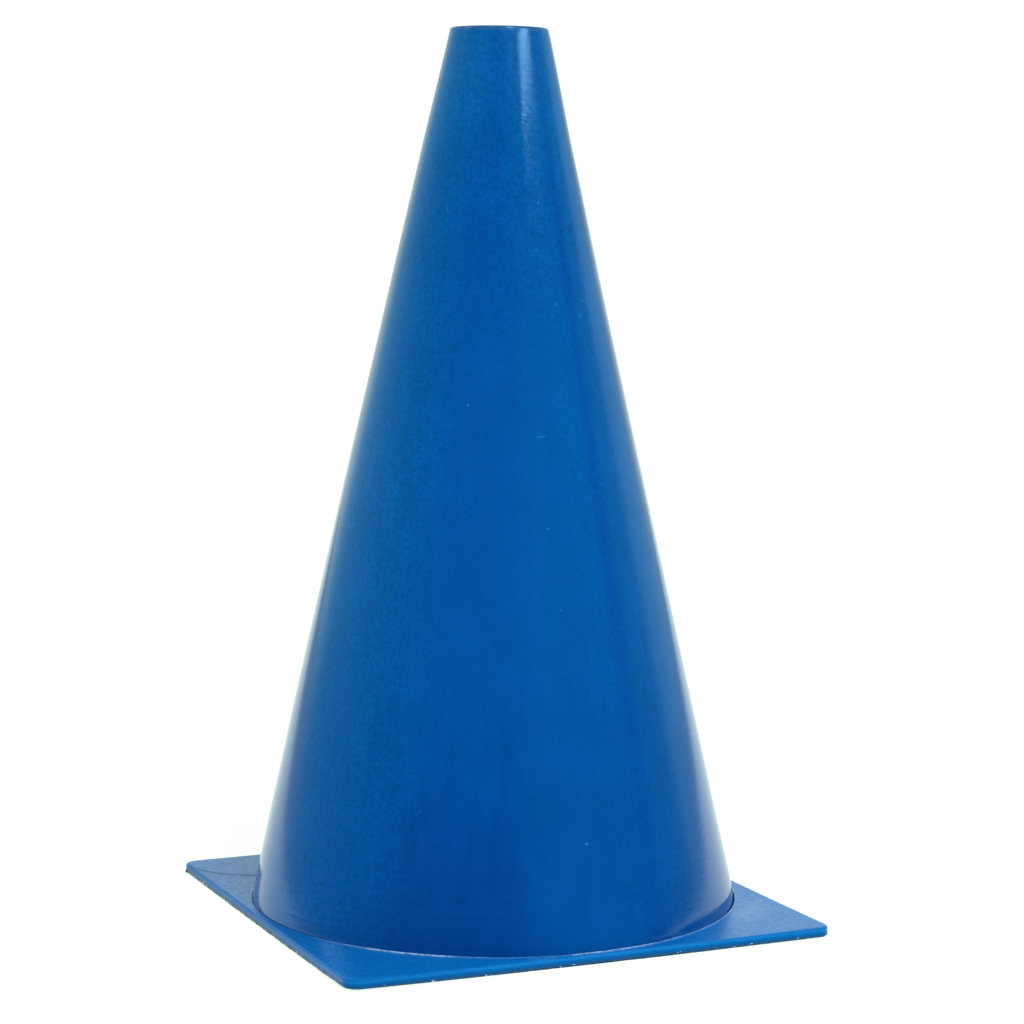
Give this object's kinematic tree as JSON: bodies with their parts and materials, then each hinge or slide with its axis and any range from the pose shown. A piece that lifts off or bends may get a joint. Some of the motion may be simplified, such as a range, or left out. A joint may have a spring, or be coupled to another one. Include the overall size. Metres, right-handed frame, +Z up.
{
  "type": "sports marker cone",
  "caption": "Hollow tapered marker cone with an open rimmed top for a pole, held by its foot flange in a thin square base plate.",
  "frame": {"origin": "centre of the square base plate's underside, on the ground", "axes": "+Z up along the cone's axis; X and Y along the sides of the square base plate"},
  "size_m": [0.175, 0.175, 0.305],
  "materials": {
    "cone_plastic": "semi-gloss moulded polyethylene, saturated blue, fine level tool marks and small scuffs",
    "base_plastic": "semi-gloss moulded polyethylene, saturated blue, faint swirling scuffs on top, trimmed lower edge"
  },
  "bodies": {
    "root": {"cone_shell": "cone_plastic", "base_plate": "base_plastic"}
  },
  "joints": []
}
